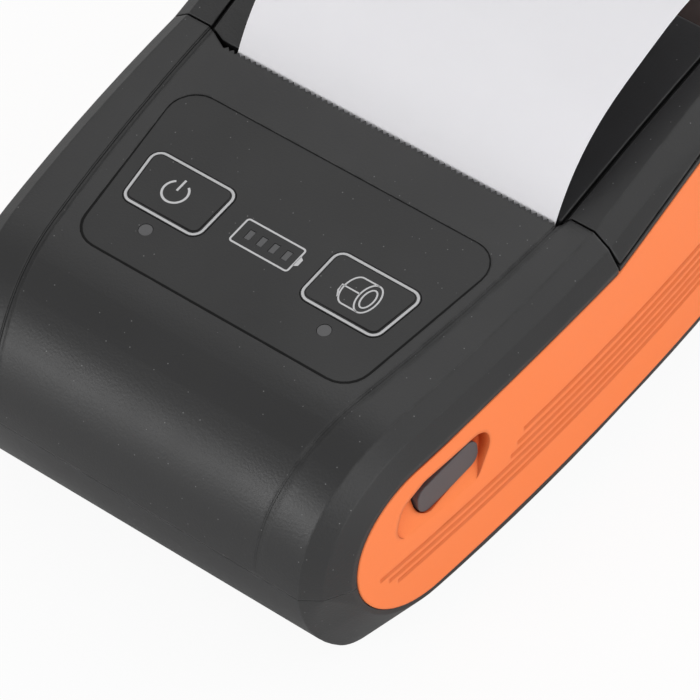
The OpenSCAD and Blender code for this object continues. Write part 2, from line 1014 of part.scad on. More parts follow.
module motor_pinion() {
    color("#c9a75a") {
        gear(outer_gear_x, pinion_teeth, big_mesh_angle + 180 + 180 / pinion_teeth, pinion_y, pinion_z);
        x_cylinder([outer_gear_x[1] - 0.1, motor_x[0] - 0.3], 1, pinion_y, pinion_z);
    }
}

module feed_motor() {
    color(steel)
    union() {
        x_cylinder(motor_x, motor_r, pinion_y, pinion_z);
        side_extrude([motor_x[0], motor_x[0] + 0.8])
            translate([pinion_y, pinion_z])
                rotate(-20)
                    square([16.5, 6], center = true);
    }
}

// Print mechanism

module frame_side() {
    difference() {
        polygon([
            [-8, frame_floor_z], [11, frame_floor_z], [12.4, 22], [12.4, 38.4], [-5, 38.4], [-8, 33]
        ]);
        translate([platen_y, platen_z]) circle(bush_r + 0.1);
        polygon([
            [platen_y - bush_r - 0.1, platen_z], [platen_y - bush_r - 1.2, 45],
            [platen_y + bush_r + 1.2, 45], [platen_y + bush_r + 0.1, platen_z]
        ]);
    }
}

module mechanism_frame() {
    color(steel)
    difference() {
        union() {
            side_extrude(frame_left_x) frame_side();
            side_extrude(frame_right_x) frame_side();
            block([frame_left_x[0], frame_right_x[1]], [-8, 11], [frame_floor_z, frame_floor_z + 1]);
            block([frame_left_x[0], frame_right_x[1]], [4.4, 5.4], [frame_floor_z, 25]);
            side_extrude([frame_left_x[0], frame_right_x[1]])
                at_head()
                    translate([-6.2, -2.6])
                        square([1, 7]);
        }
        x_cylinder([-30, -27], 1.6, pinion_y, pinion_z);
        for (x = frame_screw_x)
            translate([x, frame_screw_y, 10]) cylinder(h = 8, r = 1.25);
    }
}

module at_head() {
    translate([platen_y, platen_z] - polar(platen_r + nip_gap, head_angle))
        rotate(head_angle)
            children();
}

module print_head() {
    color("#d9d5cb")
    union() {
        side_extrude([-26.4, 31.4]) at_head() translate([-1, -5.5]) square([0.88, 7.9]);
        side_extrude([-24.8, 29.8]) at_head() translate([-0.2, -0.8]) square([0.2, 1.6]);
    }
}

module head_heat_plate() {
    color("#9da2a8")
    side_extrude([-26.8, 31.8]) at_head() translate([-3.4, -6.8]) square([2.35, 10.8]);
}

module head_springs() {
    spring_r = 1.8;
    color(steel)
    for (x = [-14, 19])
        translate([x, 0, 0])
            rotate([90, 0, 90])
                at_head()
                    translate([-3.42, 0, 0])
                        rotate([0, -90, 0])
                            difference() {
                                cylinder(h = 1.7, r = spring_r);
                                translate([0, 0, -1]) cylinder(h = 4, r = 1.1);
                            }
}

module head_ribbon() {
    color("#b8742a")
    side_extrude([-4, 14])
        polygon([
            [0.4, 28.1], [-4, 24.6], [-9, 23.4], [-15.6, 26.3], [-19.9, 26.3],
            [-19.9, 26.6], [-15.5, 26.6], [-9, 23.7], [-4.1, 24.9], [0.2, 28.4]
        ]);
}

module paper_sensor() {
    color("#242426")
    block([-3, 3], [5.4, 8.2], [20.4, 24.4]);
}

// Cover release: button, spring, slider and latch

module release_button() {
    cam_gap = 0.5;
    cam_x = [33, 35.2];
    cam_y = slider_end[1] - slider_end[0] - cam_gap;
    color(button_grey)
    union() {
        intersection() {
            side_extrude([33.4, far]) button_outline(0);
            bowed_plan(half_w + panel_proud - button_sunk, [-half_l, 0], 12);
        }
        side_extrude([32.6, 33.6]) button_outline(0.9);
        translate([0, 0, 16])
            linear_extrude(8)
                polygon([
                    [cam_x[1], cam_x[1] + cam_y], [cam_x[0], cam_x[0] + cam_y],
                    [cam_x[0], -33.4], [cam_x[1], -33.4]
                ]);
    }
}

module release_spring() {
    color(steel)
    translate([spring_seat_x, button_c[0], button_c[1]])
        rotate([0, 90, 0])
            difference() {
                cylinder(h = 3.1, r = 1.9);
                translate([0, 0, -1]) cylinder(h = 6, r = 1.3);
            }
}

module release_slider() {
    nose_w = slider_x[1] - slider_end[0];
    color(button_grey)
    translate([0, 0, 15.4])
        linear_extrude(2.8)
            polygon([
                slider_end, slider_end + [nose_w, nose_w], [slider_x[1], 1.2],
                [slider_x[0], 1.2], [slider_x[0], -22], [slider_end[0], -25]
            ]);
}

module latch_lever() {
    hook_gap = 0.2;
    hook_z = platen_z + shaft_r + hook_gap;
    color(steel)
    difference() {
        union() {
            side_extrude(latch_x)
                polygon([
                    [1.6, 15.2], [4.4, 15.2], [4.8, 25], [3.9, 30], [3.9, hook_z],
                    [7, hook_z], [6.6, hook_z + 1], [2.4, hook_z + 1], [1.5, hook_z + 0.3], [1.2, 25]
                ]);
            block([slider_x[0], latch_x[1]], [1.6, 4.4], [15.2, 17.2]);
        }
        x_cylinder([30, 40], 1.5 + fit, latch_c[0], latch_c[1]);
    }
}

module latch_pivot() {
    color(steel)
    x_cylinder([frame_right_x[1], 36.3], 1.5, latch_c[0], latch_c[1]);
}

// Paper

module paper_cradle() {
    plate_x = [-27.3, 31.6];
    cheek_t = 1.1;
    color("#2f2f31")
    union() {
        block(plate_x, [33, 39], [wall, wall + 1.4]);
        side_extrude(plate_x)
            difference() {
                translate(roll_c) circle(cradle_r + cradle_t, $fn = 96);
                translate(roll_c) circle(cradle_r, $fn = 96);
                for (turn = [-40, 50, 100, 135])
                    translate(roll_c) rotate(turn) square([60, 60]);
            }
        for (x = [plate_x[0] - cheek_t + 0.1, plate_x[1] - 0.1])
            side_extrude([x, x + cheek_t])
                intersection() {
                    translate(roll_c) circle(cradle_r + cradle_t, $fn = 96);
                    polygon([[20, 5], [20, 15], [28, 22], [38, 22], [43, 14], [43, 5]]);
                }
    }
}

module paper_roll() {
    color(paper_white)
    difference() {
        x_cylinder([paper_x - paper_w / 2, paper_x + paper_w / 2], roll_r, roll_c[0], roll_c[1]);
        x_cylinder([-60, 60], core_r, roll_c[0], roll_c[1]);
    }
}

module roll_core() {
    color("#cbb48c")
    difference() {
        x_cylinder([paper_x - paper_w / 2, paper_x + paper_w / 2], core_r, roll_c[0], roll_c[1]);
        x_cylinder([-60, 60], core_r - 1.2, roll_c[0], roll_c[1]);
    }
}

// Centre line of the paper from the roll to the tear edge: a straight run, round the platen, and out

run_r = platen_r + nip_gap / 2;
run_d = norm(roll_c - [platen_y, platen_z]);
run_axis = ([platen_y, platen_z] - roll_c) / run_d;
run_lead = (roll_r + 0.4 - run_r) / run_d;
run_normal = run_lead * run_axis + sqrt(1 - run_lead * run_lead) * [-run_axis[1], run_axis[0]];
run_angle = atan2(run_normal[1], run_normal[0]) + 360;
exit_angle = 180 + head_angle;
exit_point = [platen_y, platen_z] + polar(run_r, exit_angle);

// The paper bends forward from the nip to a point under the teeth, and then sharply back along the cut wall
under_point = [-0.77, 40.4];
under_chord = under_point - exit_point;
under_chord_angle = atan2(under_chord[1], under_chord[0]);
under_turn = 2 * (under_chord_angle - (exit_angle - 90));
under_r = norm(under_chord) / (2 * sin(under_turn / 2));
foot_angle = 61;
foot_r = 0.8;
foot_from = exit_angle - 90 + under_turn;
foot_c = under_point + polar(foot_r, foot_from - 90);
foot_point = foot_c + polar(foot_r, foot_angle + 90);
foot_dir = polar(1, foot_angle);
slot_z = 41.85;
slot_point = foot_point + foot_dir * (slot_z - foot_point[1]) / foot_dir[1];

function shifted(points, d) =
    [for (i = [0:len(points) - 1])
        let (
            a = points[max(i - 1, 0)],
            b = points[min(i + 1, len(points) - 1)],
            u = (b - a) / norm(b - a)
        )
        points[i] + d * [-u[1], u[0]]];

module ribbon(points) {
    upper = shifted(points, paper_t / 2);
    lower = shifted(points, -paper_t / 2);
    polygon(concat(upper, [for (i = [len(lower) - 1:-1:0]) lower[i]]));
}

paper_span = [paper_x - paper_w / 2, paper_x + paper_w / 2];

module paper_run() {
    color(paper_white)
    side_extrude(paper_span)
        ribbon(concat(
            [roll_c + (roll_r + 0.4) * run_normal],
            arc([platen_y, platen_z], run_r, run_angle, exit_angle, 5),
            [for (i = [1:5]) exit_point + under_step(i / 5)],
            arc(foot_c, foot_r, foot_from + 75, foot_angle + 90, 5),
            [slot_point]
        ));
}

function under_step(u) =
    let (turn = under_turn * u, chord = 2 * under_r * sin(turn / 2), angle = exit_angle - 90 + turn / 2)
    polar(chord, angle);

// The loose strip starts at the teeth and curls back over the lid: its direction falls from start to end

strip_gap = 0.02;
strip_start = slot_point + foot_dir * strip_gap;
strip_steps = 26;
function strip_angle(s) = 63 - 47 * smooth((s + 4) / 30) - 16 * smooth((s - 30) / 13);
function strip_point(n) = n == 0 ? strip_start
    : strip_point(n - 1)
        + polar(strip_s(n) - strip_s(n - 1), strip_angle(strip_mid(n)));
function strip_s(n) = strip_l * pow(n / strip_steps, 1.4);
function strip_mid(n) = (strip_s(n) + strip_s(n - 1)) / 2;

module paper_strip() {
    color(paper_white)
    side_extrude(paper_span)
        ribbon([for (n = [0:strip_steps]) strip_point(n)]);
}

// Battery

module battery_pack() {
    color("#2e5aa8")
    block([-28, 28], [-39.4, -12.4], [door_t + 0.1, door_t + 13.5]);
}

module battery_door() {
    color(black)
    union() {
        difference() {
            union() {
                block([-door_half, door_half], [door_pin_y, door_y[1]], [0, door_t]);
                x_cylinder([-door_half, door_half], door_t / 2, door_pin_y, door_t / 2);
            }
            for (i = [0:4])
                block([-6, 6], [-17.4 + i * 1.2, -16.8 + i * 1.2], [-1, 0.4]);
        }
        x_cylinder([-door_half - 1, door_half + 1], door_pin_r, door_pin_y, door_t / 2);
    }
}

module battery_contacts() {
    color("#c8a13c")
    for (x = [-4, 0, 4])
        block([x - 0.8, x + 0.8], [-12.4, bay_y[1]], [5, 10]);
}

// Boards

module key_board() {
    color(board_green)
    on_deck()
        translate([-26, -37.6, -board_drop - 1.2])
            cube([52, 24, 1.2]);
}

module key_switches() {
    color("#2b2b2d")
    on_deck()
        for (side = [-1, 1])
            translate([side * 16.6, -25.7, -board_drop]) {
                translate([-2.2, -2.2, 0]) cube([4.4, 4.4, 1]);
                cylinder(h = switch_h, r = 1.1);
            }
}

module key_leds() {
    color("#f2efe4")
    on_deck() {
        for (side = [-1, 1])
            translate([side * led_u - 0.8, led_v - 0.5, -board_drop])
                cube([1.6, 1, 0.6]);
        for (u = gauge_bars)
            translate([u - 0.5, gauge_v - 0.4, -board_drop])
                cube([1, 0.8, 0.6]);
    }
}

module main_board() {
    color(board_green)
    union() {
        block([-33, 27.8], [-46, -17], main_board_z);
        block([27, 30.4], [-28, -17], main_board_z);
    }
}

module board_parts() {
    color("#29292b") {
        board_part([-6, 6], [-38, -26], 1.4);
        board_part([-20, -13], [-30, -24], 1.2);
        board_part([12, 20], [-44, -38], 2.8);
        board_part([-3, 15], [-23.8, -20], 2);
    }
}

module board_part(x_range, y_range, height) {
    block(x_range, y_range, [main_board_z[1], main_board_z[1] + height]);
}

module usb_socket() {
    color(steel)
    side_extrude([-38, -30.6])
        difference() {
            usb_outline(0);
            usb_outline(-0.35);
        }
}

// Screws: a round head, and a plain shank for the thread

module case_screws() {
    color(steel) {
        screw_pair(front_post[0], front_post[1], front_head_z, 18);
        screw_pair(rear_post[0], rear_post[1], rear_head_z, 5.2);
    }
}

module screw_pair(x, y, head_z, length) {
    for (side = [-1, 1])
        translate([side * x, y, head_z]) {
            cylinder(h = head_h, r = head_r);
            translate([0, 0, head_h - 0.01]) cylinder(h = length, r = shank_r);
        }
}

module frame_screws() {
    color(steel)
    for (x = frame_screw_x)
        translate([x, frame_screw_y, frame_floor_z - 4.8]) {
            translate([0, 0, 5.85]) cylinder(h = 1.2, r = 2);
            cylinder(h = 5.9, r = shank_r);
        }
}

nose_shell();
bottom_shell();
rear_cover();
right_side_panel();
left_side_panel();
label_overlay();
power_key();
feed_key();
key_light_pipes();
battery_gauge_lens();
lid();
lid_window();
lid_hinge_pin();
lid_spring();
platen_roller();
platen_shaft();
platen_bushes();
platen_gear();
reduction_gear();
gear_axle();
motor_pinion();
feed_motor();
mechanism_frame();
print_head();
head_heat_plate();
head_springs();
head_ribbon();
paper_sensor();
release_button();
release_spring();
release_slider();
latch_lever();
latch_pivot();
paper_cradle();
paper_roll();
roll_core();
paper_run();
paper_strip();
battery_pack();
battery_door();
battery_contacts();
key_board();
key_switches();
key_leds();
main_board();
board_parts();
usb_socket();
case_screws();
frame_screws();
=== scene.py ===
import json
import math

import bmesh
import bpy
from mathutils import Matrix, Vector

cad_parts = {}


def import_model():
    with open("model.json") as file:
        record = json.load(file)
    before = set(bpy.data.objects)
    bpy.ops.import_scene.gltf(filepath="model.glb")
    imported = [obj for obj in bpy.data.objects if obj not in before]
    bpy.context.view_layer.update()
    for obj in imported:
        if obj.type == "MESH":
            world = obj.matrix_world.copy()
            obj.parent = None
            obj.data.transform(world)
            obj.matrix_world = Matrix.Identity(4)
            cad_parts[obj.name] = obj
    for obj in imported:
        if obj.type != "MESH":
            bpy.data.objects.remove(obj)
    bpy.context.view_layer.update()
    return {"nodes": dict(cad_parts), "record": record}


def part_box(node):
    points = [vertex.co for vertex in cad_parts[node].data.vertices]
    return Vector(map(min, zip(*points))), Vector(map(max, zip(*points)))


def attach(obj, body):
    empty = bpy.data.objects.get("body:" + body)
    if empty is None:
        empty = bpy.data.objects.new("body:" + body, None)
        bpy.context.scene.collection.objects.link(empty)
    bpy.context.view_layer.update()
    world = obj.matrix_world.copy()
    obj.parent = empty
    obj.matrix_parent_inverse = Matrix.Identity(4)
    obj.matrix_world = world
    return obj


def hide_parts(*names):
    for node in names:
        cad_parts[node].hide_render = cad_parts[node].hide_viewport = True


MM = 0.001

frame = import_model()
nodes = frame["nodes"]


# Smooth shading: doubled points are joined, and every edge flatter than a limit is shaded smooth

def shading_group(name, limit):
    join_reach = 0.001 * MM
    group = bpy.data.node_groups.new(name, "GeometryNodeTree")
    group.interface.new_socket("Geometry", in_out="INPUT", socket_type="NodeSocketGeometry")
    group.interface.new_socket("Geometry", in_out="OUTPUT", socket_type="NodeSocketGeometry")
    make, link = group.nodes.new, group.links.new
    start = make("NodeGroupInput")
    end = make("NodeGroupOutput")
    join = make("GeometryNodeMergeByDistance")
    join.inputs["Distance"].default_value = join_reach
    plain = make("GeometryNodeRemoveAttribute")
    plain.inputs["Name"].default_value = "custom_normal"
    faces = make("GeometryNodeSetShadeSmooth")
    faces.domain = "FACE"
    edges = make("GeometryNodeSetShadeSmooth")
    edges.domain = "EDGE"
    edges.inputs["Shade Smooth"].default_value = False
    angle = make("GeometryNodeInputMeshEdgeAngle")
    sharp = make("FunctionNodeCompare")
    sharp.data_type = "FLOAT"
    sharp.operation = "GREATER_THAN"
    sharp.inputs["B"].default_value = limit
    link(start.outputs["Geometry"], join.inputs["Geometry"])
    link(join.outputs["Geometry"], plain.inputs["Geometry"])
    link(plain.outputs["Geometry"], faces.inputs["Geometry"])
    link(faces.outputs["Geometry"], edges.inputs["Geometry"])
    link(angle.outputs["Unsigned Angle"], sharp.inputs["A"])
    link(sharp.outputs["Result"], edges.inputs["Selection"])
    link(edges.outputs["Geometry"], end.inputs["Geometry"])
    return group


def shade_smooth(node, group):
    shading = node.modifiers.new("shading", "NODES")
    shading.node_group = group
    weights = node.modifiers.new("weights", "WEIGHTED_NORMAL")
    weights.keep_sharp = True


# Material nodes

def new_material(name):
    material = bpy.data.materials.new(name)
    material.use_nodes = True
    tree = material.node_tree
    return material, tree, tree.nodes["Principled BSDF"]


def own_place(tree):
    """The object's own coordinates at the shaded point, in metres."""
    return tree.nodes.new("ShaderNodeTexCoord").outputs["Object"]


def place_parts(tree):
    """The same, split into x, y and z."""
    split = tree.nodes.new("ShaderNodeSeparateXYZ")
    tree.links.new(own_place(tree), split.inputs["Vector"])
    return [split.outputs[axis] for axis in "XYZ"]


# Cloudy noise lies mostly between these two
NOISE_LOW = 0.3
NOISE_HIGH = 0.7


def noise(tree, scale, detail):
    """Cloudy noise; the scale is in waves a metre."""
    texture = tree.nodes.new("ShaderNodeTexNoise")
    texture.inputs["Scale"].default_value = scale
    texture.inputs["Detail"].default_value = detail
    tree.links.new(own_place(tree), texture.inputs["Vector"])
    return texture.outputs["Fac"]


def remap(tree, value, low, high, new_low, new_high):
    node = tree.nodes.new("ShaderNodeMapRange")
    node.inputs["From Min"].default_value = low
    node.inputs["From Max"].default_value = high
    node.inputs["To Min"].default_value = new_low
    node.inputs["To Max"].default_value = new_high
    tree.links.new(value, node.inputs["Value"])
    return node.outputs["Result"]


def follow(tree, cloud, middle, change):
    """A value that follows noise to either side of a middle."""
    return remap(tree, cloud, NOISE_LOW, NOISE_HIGH, middle - change, middle + change)


def calculate(tree, operation, first, second=None):
    """A sum on linked values or plain numbers."""
    node = tree.nodes.new("ShaderNodeMath")
    node.operation = operation
    for socket, value in zip(node.inputs, (first, second)):
        if isinstance(value, bpy.types.NodeSocket):
            tree.links.new(value, socket)
        elif value is not None:
            socket.default_value = value
    return node.outputs["Value"]


def product(tree, first, second):
    return calculate(tree, "MULTIPLY", first, second)


def distance(tree, across, up):
    """How far a point lies from the origin of two linked values."""
    squares = calculate(tree, "ADD", product(tree, across, across), product(tree, up, up))
    return calculate(tree, "SQRT", squares)


def colours(tree, factor, first, second):
    """Mixes two colours, or a colour and a linked one, by a linked factor."""
    node = tree.nodes.new("ShaderNodeMix")
    node.data_type = "RGBA"
    tree.links.new(factor, node.inputs["Factor"])
    for socket, value in (("A", first), ("B", second)):
        if isinstance(value, bpy.types.NodeSocket):
            tree.links.new(value, node.inputs[socket])
        else:
            node.inputs[socket].default_value = (*value, 1)
    return node.outputs["Result"]


def scaled(colour, share):
    return tuple(min(c * share, 1.0) for c in colour)


def bump(tree, height, depth, under=None):
    node = tree.nodes.new("ShaderNodeBump")
    node.inputs["Distance"].default_value = depth
    tree.links.new(height, node.inputs["Height"])
    if under is not None:
        tree.links.new(under, node.inputs["Normal"])
    return node.outputs["Normal"]


def soft_edges(tree, radius):
    """Rounded normals near the edges, and a mask that is 1 on them. The radius may be a linked value."""
    turned = 0.9
    level = 0.995
    make, link = tree.nodes.new, tree.links.new
    bevel = make("ShaderNodeBevel")
    bevel.samples = 6
    if isinstance(radius, bpy.types.NodeSocket):
        link(radius, bevel.inputs["Radius"])
    else:
        bevel.inputs["Radius"].default_value = radius
    surface = make("ShaderNodeNewGeometry")
    dot = make("ShaderNodeVectorMath")
    dot.operation = "DOT_PRODUCT"
    link(bevel.outputs["Normal"], dot.inputs[0])
    link(surface.outputs["Normal"], dot.inputs[1])
    return bevel.outputs["Normal"], remap(tree, dot.outputs["Value"], turned, level, 1.0, 0.0)


def openness(tree, reach):
    """How open the surface is within a reach: 1 on open ground, and less in a groove or a corner."""
    node = tree.nodes.new("ShaderNodeAmbientOcclusion")
    node.samples = 6
    node.inputs["Distance"].default_value = reach
    return node.outputs["AO"]


def deck_dip(tree):
    """A mask that is 1 along the deck's right crease groove, which is a soft dip in the moulding."""
    groove_half = 32.6 * MM
    groove_plan_r = 367 * MM
    groove_mid_y = 18 * MM
    dip_half = 0.9 * MM
    side_fade = 0.4 * MM
    deck_rear = -1.5 * MM
    rear_fade = 0.5 * MM
    x, y, _ = place_parts(tree)
    along = calculate(tree, "SUBTRACT", y, groove_mid_y)
    bow = calculate(tree, "DIVIDE", product(tree, along, along), 2 * groove_plan_r)
    aside = calculate(tree, "ADD", x, bow)
    off = calculate(tree, "ABSOLUTE", calculate(tree, "SUBTRACT", aside, groove_half))
    inside = remap(tree, off, dip_half, dip_half + side_fade, 1.0, 0.0)
    return product(tree, inside, remap(tree, y, deck_rear - rear_fade, deck_rear, 1.0, 0.0))


def recess_mask(tree):
    """A mask that is 1 in the button's recess and fades out round it; the orange's painted shade is kept
    inside it.
    """
    centre_y = -37.3 * MM
    centre_z = 26.0 * MM
    length_to_height = 1.5
    reach = 10.5 * MM
    fade = 3.0 * MM
    _, y, z = place_parts(tree)
    across = calculate(tree, "SUBTRACT", y, centre_y)
    up = product(tree, calculate(tree, "SUBTRACT", z, centre_z), length_to_height)
    return remap(tree, distance(tree, across, up), reach, reach + fade, 1.0, 0.0)


def dust(tree, spacing, size):
    """A mask that is 1 in small, sparse specks."""
    cells = tree.nodes.new("ShaderNodeTexVoronoi")
    cells.inputs["Scale"].default_value = 1 / spacing
    tree.links.new(own_place(tree), cells.inputs["Vector"])
    reach = size / spacing
    return remap(tree, cells.outputs["Distance"], 0.5 * reach, reach, 1.0, 0.0)


# Materials. Grain is in waves a metre; depth, edge and reach are in millimetres

def moulded(name, colour, roughness, grain=2400.0, depth=0.01, edge=0.3, shade=0.1, wear_and_glint=0.3, gloss=0.5,
            reach=1.0, shut=0.8, painted_shade_colour=None, specks=0.0, dip=None, shaded=None):
    """Moulded plastic: fine grain, a slow change of tone and gloss, soft edges paler along them (partly rub
    wear, partly a painted edge highlight), painted shade in grooves and corners, and a few specks of dust.
    Where the dip's mask is 1 the shape is shaded softly, and outside the mask called shaded no shade is
    painted in corners."""
    tone_scale = 40.0
    dip_edge = 1.2 * MM
    shut_whole = 0.3
    shut_colour = 0.3
    shut_gloss = 0.1
    rub_glint_scale = 350.0
    rub_glint_noise = (0.35, 0.7)
    rub_glint_open = (0.85, 0.99)
    rub_glint_pale = 0.22
    gloss_change = 0.05
    speck_gap = 1.7 * MM
    speck_size = 0.12 * MM
    material, tree, shader = new_material(name)
    link = tree.links.new
    slow = noise(tree, tone_scale, 4.0)
    soft = dip(tree) if dip else None
    radius = remap(tree, soft, 0.0, 1.0, edge * MM, dip_edge) if dip else edge * MM
    normal, rim = soft_edges(tree, radius)
    # Painted shade: where the surface is shut in, in grooves and corners, the colour turns toward the dark
    # shade colour and the gloss drops.
    open_share = openness(tree, reach * MM)
    if shaded:
        outside = remap(tree, shaded(tree), 0.0, 1.0, 1.0, 0.0)
        open_share = calculate(tree, "MAXIMUM", open_share, outside)
    elif dip:
        open_share = calculate(tree, "MAXIMUM", open_share, soft)
    ground = remap(tree, open_share, shut_whole, shut, 0.0, 1.0)
    plain = colours(tree, slow, scaled(colour, 1 - shade), scaled(colour, 1 + shade))
    base = colours(tree, ground, painted_shade_colour or scaled(colour, shut_colour), plain)
    # Paler along edges: partly rub wear, partly a painted edge highlight; it is kept out of grooves.
    rub_and_glint = product(tree, rim, remap(tree, noise(tree, rub_glint_scale, 5.0), *rub_glint_noise, 0.0, wear_and_glint))
    rub_and_glint = product(tree, rub_and_glint, remap(tree, open_share, *rub_glint_open, 0.0, 1.0))
    pale = tuple(c + (1 - c) * rub_glint_pale for c in colour)
    surface_colour = colours(tree, rub_and_glint, base, pale)
    if specks:
        surface_colour = colours(tree, dust(tree, speck_gap, speck_size), surface_colour, (specks, specks, specks))
    link(surface_colour, shader.inputs["Base Color"])
    link(follow(tree, slow, roughness, gloss_change), shader.inputs["Roughness"])
    link(bump(tree, noise(tree, grain, 3.0), depth * MM, normal), shader.inputs["Normal"])
    link(remap(tree, ground, 0.0, 1.0, shut_gloss * gloss, gloss), shader.inputs["Specular IOR Level"])
    return material


def metal(name, colour, roughness):
    """Plated or machined metal: fine brushing, a little tarnish, and a painted highlight along the edges.
    """
    tarnish_scale = 300.0
    brush_scale = 5000.0
    brush_depth = 0.003 * MM
    edge = 0.08 * MM
    gloss_change = 0.08
    material, tree, shader = new_material(name)
    link = tree.links.new
    tarnish = noise(tree, tarnish_scale, 5.0)
    normal, rim = soft_edges(tree, edge)
    base = colours(tree, tarnish, scaled(colour, 0.86), scaled(colour, 1.1))
    # Painted highlight: the colour is paler along every edge.
    link(colours(tree, rim, base, scaled(colour, 1.25)), shader.inputs["Base Color"])
    link(follow(tree, tarnish, roughness, gloss_change), shader.inputs["Roughness"])
    link(bump(tree, noise(tree, brush_scale, 2.0), brush_depth, normal), shader.inputs["Normal"])
    shader.inputs["Metallic"].default_value = 1.0
    return material


def thermal_paper(name, colour):
    """Coated paper: faint cloudiness, fine fibre, a smooth sheen and a little light through it."""
    cloud_scale = 120.0
    fibre_scale = 3500.0
    fibre_depth = 0.004 * MM
    light_reach = 0.09 * MM
    roughness = 0.56
    gloss_change = 0.06
    material, tree, shader = new_material(name)
    link = tree.links.new
    cloud = noise(tree, cloud_scale, 6.0)
    link(colours(tree, cloud, scaled(colour, 0.985), scaled(colour, 1.01)), shader.inputs["Base Color"])
    link(follow(tree, cloud, roughness, gloss_change), shader.inputs["Roughness"])
    link(bump(tree, noise(tree, fibre_scale, 4.0), fibre_depth), shader.inputs["Normal"])
    shader.inputs["Specular IOR Level"].default_value = 0.3
    shader.inputs["Subsurface Weight"].default_value = 1.0
    shader.inputs["Subsurface Radius"].default_value = (1, 1, 1)
    shader.inputs["Subsurface Scale"].default_value = light_reach
    return material


def wound_paper(name, colour, axis_y, axis_z, turn):
    """Paper on the roll: fine rings of wound edge about the roll's axis."""
    ring_depth = 0.02 * MM
    cloud_scale = 200.0
    roughness = 0.65
    gloss_change = 0.05
    material, tree, shader = new_material(name)
    link = tree.links.new
    _, y, z = place_parts(tree)
    across = calculate(tree, "SUBTRACT", y, axis_y)
    up = calculate(tree, "SUBTRACT", z, axis_z)
    wave = calculate(tree, "PINGPONG", distance(tree, across, up), turn)
    rings = remap(tree, wave, 0.0, turn, 0.0, 1.0)
    link(colours(tree, rings, scaled(colour, 0.86), colour), shader.inputs["Base Color"])
    link(bump(tree, rings, ring_depth), shader.inputs["Normal"])
    link(follow(tree, noise(tree, cloud_scale, 3.0), roughness, gloss_change), shader.inputs["Roughness"])
    return material


def smoked(name, colour):
    """Smoked clear plastic over a dark inside, with a painted highlight along its edges."""
    cloud_scale = 60.0
    wave_scale = 900.0
    wave_depth = 0.001 * MM
    edge = 0.15 * MM
    roughness = 0.13
    gloss_change = 0.03
    material, tree, shader = new_material(name)
    link = tree.links.new
    cloud = noise(tree, cloud_scale, 3.0)
    normal, rim = soft_edges(tree, edge)
    base = colours(tree, cloud, scaled(colour, 0.9), scaled(colour, 1.15))
    # Painted highlight: the colour is twice as bright along every edge.
    link(colours(tree, rim, base, scaled(colour, 2.0)), shader.inputs["Base Color"])
    link(follow(tree, cloud, roughness, gloss_change), shader.inputs["Roughness"])
    link(bump(tree, noise(tree, wave_scale, 2.0), wave_depth, normal), shader.inputs["Normal"])
    return material


black = moulded("case_black", (0.019, 0.019, 0.0195), roughness=0.43, grain=2400.0, depth=0.034, edge=0.5,
                shade=0.08, wear_and_glint=0.2, gloss=0.45, specks=0.15, dip=deck_dip)
inner_black = moulded("part_black", (0.02, 0.02, 0.021), roughness=0.5, grain=2000.0, depth=0.006, edge=0.2)
# The dark red colour below is painted shade, used only in and round the button's recess.
orange = moulded("panel_orange", (1.0, 0.234, 0.062), roughness=0.52, grain=2600.0, depth=0.004, edge=0.6,
                 shade=0.02, wear_and_glint=0.1, gloss=0.35, reach=4.0, shut=0.92, painted_shade_colour=(0.42, 0.03, 0.003),
                 dip=recess_mask, shaded=recess_mask)
film = moulded("label_film", (0.0165, 0.0165, 0.017), roughness=0.43, grain=3000.0, depth=0.024, edge=0.12,
               shade=0.06, wear_and_glint=0.15, gloss=0.4, specks=0.15)
grey = moulded("button_grey", (0.075, 0.066, 0.069), roughness=0.42, grain=2400.0, depth=0.006, edge=0.4,
               shade=0.06, wear_and_glint=0.2)
rubber = moulded("platen_rubber", (0.03, 0.03, 0.032), roughness=0.7, grain=1500.0, depth=0.01, edge=0.1)
lens = moulded("indicator_lens", (0.085, 0.085, 0.088), roughness=0.45, grain=900.0, depth=0.003, edge=0.1)
print_grey = moulded("print_grey", (0.58, 0.58, 0.59), roughness=0.5, grain=4000.0, depth=0.002, edge=0.02,
                     shade=0.05, wear_and_glint=0.0)
white_gear = moulded("gear_acetal", (0.75, 0.72, 0.65), roughness=0.4, grain=900.0, depth=0.003, edge=0.08,
                     shade=0.04)
green = moulded("board_green", (0.01, 0.12, 0.05), roughness=0.35, grain=900.0, depth=0.003, edge=0.1)
blue = moulded("battery_wrap", (0.02, 0.08, 0.3), roughness=0.3, grain=600.0, depth=0.004, edge=0.5)
card = moulded("core_card", (0.5, 0.36, 0.2), roughness=0.8, grain=900.0, depth=0.02, edge=0.1)
ceramic = moulded("head_ceramic", (0.7, 0.66, 0.58), roughness=0.25, grain=900.0, depth=0.002, edge=0.1,
                  shade=0.04)
amber = moulded("ribbon_film", (0.45, 0.17, 0.04), roughness=0.3, grain=900.0, depth=0.002, edge=0.05)
led_white = moulded("led_body", (0.8, 0.78, 0.7), roughness=0.35, grain=900.0, depth=0.002, edge=0.05,
                    shade=0.03)
bush_tan = moulded("bush_plastic", (0.25, 0.17, 0.06), roughness=0.5, grain=900.0, depth=0.003, edge=0.1)
steel = metal("bright_steel", (0.55, 0.55, 0.56), roughness=0.28)
sheet_metal = metal("sheet_steel", (0.5, 0.51, 0.52), roughness=0.38)
brass = metal("pinion_brass", (0.62, 0.44, 0.18), roughness=0.3)
alloy = metal("plate_aluminium", (0.7, 0.71, 0.73), roughness=0.4)
paper = thermal_paper("thermal_paper", (0.865, 0.857, 0.885))
# A near-black for painted shade lines: the shadow gap round the label and the shade at the foot of the
# keys.
painted_shade_dark = moulded("painted_shade_dark", (0.005, 0.005, 0.005), roughness=0.6, grain=2000.0, depth=0.004, edge=0.05,
                   gloss=0.15)
smoke = smoked("smoked_window", (0.03, 0.017, 0.013))

